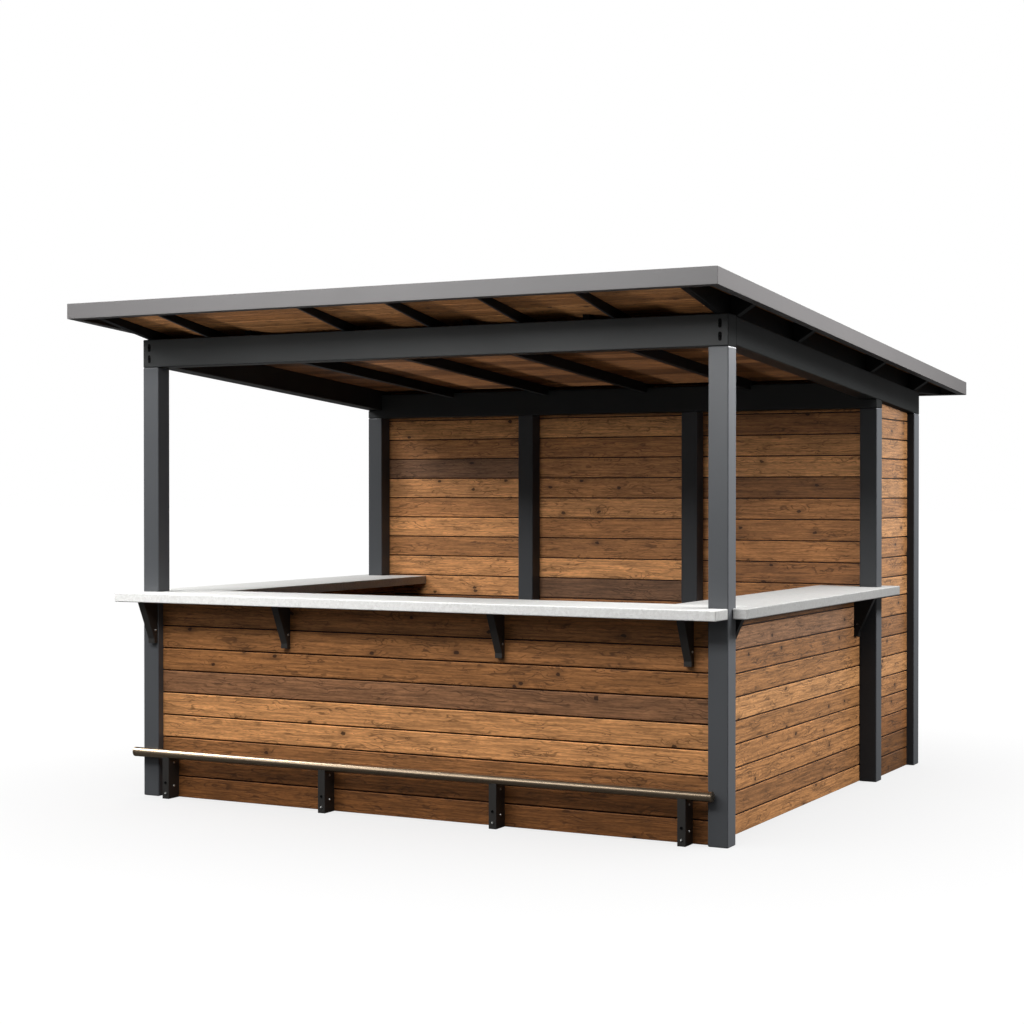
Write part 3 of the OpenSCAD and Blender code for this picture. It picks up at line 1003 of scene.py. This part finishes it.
@dataclass
class Fixings:
    """Screws in brackets and rail legs, and bolts with long washers in the front beam's ends."""

    screw: Fastener = Fastener(6.5 * MM, 3.5 * MM)
    bolt: Fastener = Fastener(7 * MM, 5 * MM)
    bracket_foot: float = 70 * MM
    bracket_back: float = 20 * MM
    leg_low: float = 30 * MM
    leg_bolt: float = 86 * MM
    leg_side: Span = (65 * MM, 190 * MM)
    beam_inset: float = 42 * MM
    beam_rise: Span = (0.30, 0.70)
    washer: Spot = (16 * MM, 3 * MM, 42 * MM)
    washer_round: float = 0.48

    def bracket_screws(self, mesh: Mesh) -> None:
        """Set a screw near the foot of each cheek of every bracket.

        Args:
            mesh: Mesh that takes the screws.
        """
        for low, high in solid_boxes("front_brackets"):
            for across, out in ((low.x, -1), (high.x, 1)):
                spot = Vector((across, high.y - self.bracket_back, low.z + self.bracket_foot))
                self.screw.add(mesh, spot, Vector((out, 0, 0)))
        for node, side in (("left_brackets", 1), ("right_brackets", -1)):
            for low, high in solid_boxes(node):
                wall = high.x if side > 0 else low.x
                for along, out in ((low.y, -1), (high.y, 1)):
                    spot = Vector((wall - side * self.bracket_back, along, low.z + self.bracket_foot))
                    self.screw.add(mesh, spot, Vector((0, out, 0)))

    def leg_screws(self, screws: Mesh, bolts: Mesh) -> None:
        """Set the bright screws and the dark bolt of every rail leg.

        Args:
            screws: Mesh that takes the screws.
            bolts: Mesh that takes the bolts.
        """
        for low, high in solid_boxes("rail_legs"):
            middle = (low.x + high.x) / 2
            self.screw.add(screws, Vector((middle, low.y, low.z + self.leg_low)), FRONT)
            self.bolt.add(bolts, Vector((middle, low.y, low.z + self.leg_bolt)), FRONT)
            for rise in self.leg_side:
                for across, out in ((low.x, -1), (high.x, 1)):
                    spot = Vector((across, (low.y + high.y) / 2, low.z + rise))
                    self.screw.add(screws, spot, Vector((out, 0, 0)))

    def beam_bolts(self, mesh: Mesh) -> None:
        """Set two bolts, each on a long washer, in both ends of the front beam.

        Args:
            mesh: Mesh that takes the bolts.
        """
        low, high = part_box("front_beam")
        for across in (low.x + self.beam_inset, high.x - self.beam_inset):
            for share in self.beam_rise:
                spot = Vector((across, low.y, low.z + (high.z - low.z) * share))
                washer = bmesh.new()
                bmesh.ops.create_cube(washer, size=1.0, matrix=Matrix.Diagonal((*self.washer, 1.0)))
                ends = [edge for edge in washer.edges if abs(edge_way(edge).y) > PARALLEL]
                round_edges(washer, ends, self.washer[0] * self.washer_round, 4)
                bmesh.ops.translate(washer, verts=washer.verts[:], vec=spot)
                merge_into(mesh, washer)
                self.bolt.add(mesh, spot + FRONT * (self.washer[1] / 2), FRONT)

    def build(self) -> None:
        """Place all screws as one piece and all bolts as another."""
        screws = bmesh.new()
        bolts = bmesh.new()
        self.bracket_screws(screws)
        self.leg_screws(screws, bolts)
        self.beam_bolts(bolts)
        place_piece(screws, "bright_screws", ZINC)
        place_piece(bolts, "dark_bolts", BLACK_STEEL)


def flag_light(light: bpy.types.Object, only: Names, spared: Names) -> None:
    """Keep a light to some pieces, or off others, as flags do in a studio.

    Args:
        light: Light that has been hung.
        only: Starts of the names of the pieces that it may reach; with none it reaches all but the spared.
        spared: Starts of the names of the pieces that it may not reach.
    """
    flagged = bpy.data.collections.new(f"{light.name} flags")
    for piece in bpy.data.objects:
        if piece.name not in frame["nodes"] and piece.name.startswith(only or spared):
            flagged.objects.link(piece)
    for entry in flagged.collection_objects:
        entry.light_linking.link_state = "INCLUDE" if only else "EXCLUDE"
    light.light_linking.receiver_collection = flagged


@dataclass(frozen=True)
class Softbox:
    """Large rectangular studio light that is flagged off the floor, and off or on to some pieces.

    A light that is kept to some pieces does not bounce on from them.
    """

    name: str
    place: Spot
    aim: Spot
    size: Span
    power: float
    only: Names = ()
    spared: Names = ()
    tint: str = "#ffffff"

    def build(self) -> None:
        """Hang the light and turn it to its aim."""
        data = bpy.data.lights.new(self.name, "AREA")
        data.shape = "RECTANGLE"
        data.color = linear_colour(self.tint)[:3]
        data.size, data.size_y = self.size
        data.energy = self.power
        light = add_object(self.name, data)
        light.location = self.place
        light.visible_camera = False
        way = Vector(self.aim) - Vector(self.place)
        light.rotation_euler = way.to_track_quat("-Z", "Y").to_euler()
        if self.only:
            data.cycles.max_bounces = 0
        flag_light(light, self.only, (*self.spared, FLOOR))


@dataclass(frozen=True)
class PaperFloor(Finish):
    """Matt white studio paper lit through from below, so that only faint shadows show on it."""

    title: str = "matt white studio paper"
    colour: str = "#f8f8f8"
    bounce: str = "#5c5c5c"
    light: str = "#ffffff"
    cloud: float = 2.5
    cloud_shade: float = 0.98
    glow: float = 0.75
    shade: float = 0.25
    roughness: float = 0.9

    def wire(self, tree: Tree, shader: Node) -> None:
        """Cloud the white a little, and send less of it back on to the object."""
        cloud = add_noise(tree, object_place(tree), self.cloud, detail=2.0)
        dim = linear_colour(self.colour, self.shade * self.cloud_shade)
        tint = add_mix(tree, cloud, dim, linear_colour(self.colour, self.shade))
        seen = add_node(tree, "LightPath").outputs["Is Camera Ray"]
        through = add_node(tree, "Math", {"operation": "MULTIPLY"}, {0: seen, 1: self.glow}).outputs[0]
        set_inputs(tree, shader, {
            "Base Color": add_mix(tree, seen, linear_colour(self.bounce), tint),
            "Roughness": self.roughness,
            "Specular IOR Level": 0.0,
            "Emission Color": linear_colour(self.light),
            "Emission Strength": through,
        })


@dataclass(frozen=True)
class Overhead:
    """Wide bright ceiling of the studio that lights the floor evenly far and near."""

    power: float = 3.2
    spread: float = math.radians(70)
    spared: Names = ("foot_rail",)

    def build(self) -> None:
        """Hang the light straight above."""
        data = bpy.data.lights.new("overhead", "SUN")
        data.energy = self.power
        data.angle = self.spread
        flag_light(add_object("overhead", data), (), self.spared)


# Starts of the names of pieces that lights are kept to, or kept off
FLOOR = "studio_floor"
FRONT_RIGHT = ("front_right_post",)
BACK_RIGHT = ("back_right_post", "rear_right_post")
RIGHT_BOARDS = ("right_counter_wall", "right_bay_wall")
RIGHT_EAVE = ("right_lookouts", "right_edge_rafter")
RIGHT_FASCIA = ("right_fascia",)
RIGHT_STONE = ("right_counter_stone",)
LEFT_STONES = ("front_counter_stone", "left_counter_stone")
BACK_BOARDS = ("back_wall",)
RAFTERS = ("inner_rafters", "front_outriggers")
ROOF_UNDERSIDE = ("front_soffit", "ceiling_deck")
LINING = ("ceiling_lining",)
RAIL = ("foot_rail",)
SMALL_PLATES = ("rail_legs", "front_brackets")
# Pieces in the rafters' coat, whose near black is painted shade.
SHADE_PAINTED_STEEL = RAFTERS + RIGHT_EAVE
OFF_KEY = (*RAIL, "left_counter", *SHADE_PAINTED_STEEL)
OFF_FRONT = ("back_", "rear_", *SHADE_PAINTED_STEEL)
OFF_SIDE = (*BACK_RIGHT, *RIGHT_BOARDS, *RIGHT_EAVE, *SMALL_PLATES, *RAIL, "left_counter", "right_counter")


@dataclass
class Studio:
    """Pale floor, soft lights and the camera at the photograph's place."""

    floor_reach: float = 150.0
    sky: str = "#ffffff"
    sky_strength: float = 0.14
    eye: Spot = (4.9005, -9.8705, 1.635)
    turn: float = 27.777
    dip: float = 0.592
    lens: float = 67.496
    sensor: float = 36.0
    overhead: Overhead = Overhead()
    lights: tuple[Softbox, ...] = (
        Softbox("key softbox", (-0.6, -4.7, 3.7), (-0.2, -1.6, 1.9), (4.5, 1.0), 155.0, spared=OFF_KEY),
        Softbox("front softbox", (-4.0, -8.5, 3.4), (0.0, -1.4, 1.4), (4.0, 1.6), 45.0, spared=OFF_FRONT),
        Softbox("rail softbox", (-2.6, -6.0, 3.7), (-0.1, -1.75, 0.3), (6.5, 0.7), 50.0, only=RAIL),
        Softbox("left softbox", (-5.5, -3.0, 5.2), (-0.5, -0.6, 1.1), (3.0, 2.0), 250.0, spared=SHADE_PAINTED_STEEL),
        Softbox("side softbox", (4.5, 0.4, 5.7), (1.7, -0.3, 1.8), (4.0, 1.2), 430.0, spared=OFF_SIDE),
        Softbox("edge softbox", (4.4, 2.8, 4.6), (1.7, -1.6, 1.9), (1.2, 1.2), 770.0, only=FRONT_RIGHT),
        Softbox("rear edge softbox", (4.4, 2.0, 4.8), (1.7, 0.8, 1.6), (1.2, 1.2), 540.0, only=BACK_RIGHT),
        Softbox("post softbox", (1.4, -3.2, 2.2), (1.63, -1.7, 2.0), (0.6, 0.6), 5.0, only=FRONT_RIGHT),
        Softbox("fascia softbox", (5.5, -0.5, 4.4), (1.8, -0.3, 2.5), (3.0, 1.0), 260.0, only=RIGHT_FASCIA),
        Softbox(
            "right stone softbox", (3.7, -0.4, 4.6), (1.8, -0.4, 1.1), (3.0, 1.0), 165.0,
            only=RIGHT_STONE,
        ),
        Softbox(
            "right wash", (9.0, -2.0, 3.2), (1.7, 0.2, 0.8), (3.0, 2.0), 740.0,
            only=RIGHT_BOARDS, tint="#eaf4ff",
        ),
        Softbox("rim softbox", (4.2, 6.5, 2.0), (1.7, 0.0, 1.0), (3.0, 2.0), 70.0, only=RIGHT_BOARDS),
        Softbox("wall wash", (-1.5, -12.0, 4.2), (0.0, 0.7, 1.4), (5.0, 3.0), 630.0, only=BACK_BOARDS),
        Softbox("ceiling wash", (-8.0, -7.0, 1.6), (0.2, -1.8, 2.5), (0.8, 0.4), 900.0, only=ROOF_UNDERSIDE),
        Softbox("lining wash", (-6.5, -1.4, 0.2), (0.6, -0.4, 2.35), (0.8, 0.8), 680.0, only=LINING),
        Softbox("rafter wash", (-3.4, -3.4, 0.4), (0.2, -1.4, 2.4), (1.0, 1.0), 260.0, only=RAFTERS),
        Softbox("stone softbox", (-4.0, -4.0, 5.2), (-0.8, -1.2, 1.1), (3.0, 2.0), 290.0, only=LEFT_STONES),
    )

    def build(self) -> None:
        """Set up floor, sky, lights and camera."""
        self.build_floor()
        self.build_sky()
        self.overhead.build()
        for light in self.lights:
            light.build()
        self.build_camera()

    def build_floor(self) -> None:
        """Lay the floor under the object."""
        mesh = bmesh.new()
        bmesh.ops.create_grid(mesh, x_segments=4, y_segments=4, size=self.floor_reach)
        data = bpy.data.meshes.new(FLOOR)
        mesh.to_mesh(data)
        mesh.free()
        data.materials.append(PaperFloor().material())
        add_object(FLOOR, data)

    def build_sky(self) -> None:
        """Surround the scene with plain white."""
        world = bpy.data.worlds.new("studio surround")
        world.use_nodes = True
        tree = world.node_tree
        ground = tree.nodes["Background"]
        set_inputs(tree, ground, {"Color": linear_colour(self.sky), "Strength": self.sky_strength})
        seen = add_node(tree, "Background", None, {"Color": linear_colour(self.sky), "Strength": 1.0})
        path = add_node(tree, "LightPath")
        both = add_node(tree, "MixShader", None, {
            0: path.outputs["Is Camera Ray"],
            1: ground.outputs["Background"],
            2: seen.outputs["Background"],
        })
        tree.links.new(both.outputs["Shader"], tree.nodes["World Output"].inputs["Surface"])
        scene = bpy.context.scene
        scene.world = world
        scene.view_settings.view_transform = "Standard"

    def build_camera(self) -> None:
        """Stand the camera where the photograph was taken from."""
        data = bpy.data.cameras.new("photo camera")
        data.sensor_width = self.sensor
        data.lens = self.lens
        data.clip_end = 4 * self.floor_reach
        camera = add_object("photo camera", data)
        camera.location = self.eye
        camera.rotation_euler = (math.radians(90 - self.dip), 0.0, math.radians(self.turn))
        bpy.context.scene.camera = camera


@dataclass
class Gazebo:
    """The whole bar: which pieces get which finish."""

    posts: Names = (
        "front_left_post", "front_right_post",
        "back_left_post", "back_inner_left_post", "back_inner_right_post", "back_right_post",
        "rear_left_post", "rear_inner_left_post", "rear_inner_right_post", "rear_right_post",
    )
    beams: Names = ("front_beam", "back_beam", "rear_beam", "left_side_beam", "right_side_beam")
    rafters: Names = (
        "inner_rafters", "left_edge_rafter", "right_edge_rafter", "front_outriggers",
        "left_lookouts", "right_lookouts",
    )
    fascias: Names = ("front_fascia", "rear_fascia", "left_fascia", "right_fascia")
    slabs: Names = ("front_counter", "left_counter", "right_counter")
    plates: Names = ("front_brackets", "left_brackets", "right_brackets", "rail_legs")

    def steel(self) -> list[SteelGroup]:
        """List the pieces that keep their CAD shape with eased edges.

        Returns:
            One group per finish.
        """
        return [
            SteelGroup(self.posts, POST_COAT, "frame_steel", 6 * MM),
            SteelGroup(self.beams, PAINTED_SHADE_BEAM_COAT, "frame_steel", 5 * MM),
            SteelGroup(self.rafters, PAINTED_SHADE_RAFTER_COAT, "frame_steel", 3 * MM, 2),
            SteelGroup(self.fascias, FASCIA_COAT, "fascia_metal", 1.8 * MM, 2, "folded"),
            SteelGroup(self.slabs, STONE, "counter_stone", 5 * MM, 3, "stone"),
            SteelGroup(self.plates, BLACK_COAT, "bracket_steel", 1.5 * MM, 2, "plate"),
        ]

    def walls(self) -> list[BoardWall]:
        """List the boarded walls and the ceiling.

        Returns:
            One entry per CAD node.
        """
        honey, amber, brown, umber, smoke, russet, chestnut, pale, ash = Tone
        ceiling = (honey, amber, amber)
        # The lining under the roof is the same timber as the deck in darker tones: painted shade.
        lining = (brown, umber, brown)
        fine = BoardProfile(gap=3 * MM, ease=1 * MM)
        posts = [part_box(node) for node in ("back_inner_left_post", "back_inner_right_post")]
        bays = tuple((low.x + high.x) / 2 for low, high in posts)
        front = (russet, russet, russet, smoke, pale, pale, russet, chestnut, chestnut)
        # The right wall's top board, under the slab, is umber: painted shade.
        right = (umber, smoke, brown, amber, honey, amber, amber, amber, brown, amber)
        back = (
            (brown, amber, honey, amber, ash, honey, amber, honey, amber, honey, honey),
            (brown, amber, pale, russet, amber, amber, honey, russet, amber, pale, ash),
            (brown, amber, brown, honey, pale, brown, amber, russet, amber, brown, amber),
        )
        bay = (
            amber, amber, honey, amber, honey, amber, honey, amber, amber, honey,
            amber, brown, amber, honey, amber, brown, chestnut, umber, umber,
        )
        front_foot = (117 * MM, 103 * MM, 103 * MM)
        return [
            BoardWall("front_counter_wall", Run.ALONG_X, 119.5 * MM, front_foot, (), (front,), 11),
            BoardWall("right_counter_wall", Run.ALONG_Y, 112.5 * MM, (97 * MM,), (), (right,), 12),
            BoardWall("left_counter_wall", Run.ALONG_Y, 112.5 * MM, (97 * MM,), (), (), 13),
            BoardWall("back_wall", Run.ALONG_X, 123.3 * MM, (), bays, back, 14),
            BoardWall("right_bay_wall", Run.ALONG_Y, 114.6 * MM, (113 * MM,), (), (bay,), 15),
            BoardWall("left_bay_wall", Run.ALONG_Y, 114.6 * MM, (113 * MM,), (), (), 16),
            BoardWall("rear_wall", Run.ALONG_X, 119.5 * MM, (), (), (), 17),
            CeilingBoards("ceiling_deck", Run.FLAT_ALONG_X, 121 * MM, (), (), (), 18, ceiling, profile=fine),
            CeilingBoards("ceiling_lining", Run.FLAT_ALONG_X, 121 * MM, (), (), (), 19, lining, profile=fine),
            CeilingBoards("front_soffit", Run.FLAT_ALONG_X, 125 * MM, (), (), (), 20, ceiling, profile=fine),
        ]

    def build(self) -> None:
        """Dress every piece of the bar."""
        for group in self.steel():
            group.build()
        for wall in self.walls():
            wall.build()
        RoofSheet().build()
        FootRail().build()
        Fixings().build()


def main() -> None:
    """Dress the bar and set up the studio round it."""
    logging.basicConfig(level=logging.INFO, format="%(name)s %(message)s")
    Gazebo().build()
    Studio().build()


if __name__ == "__main__":
    main()
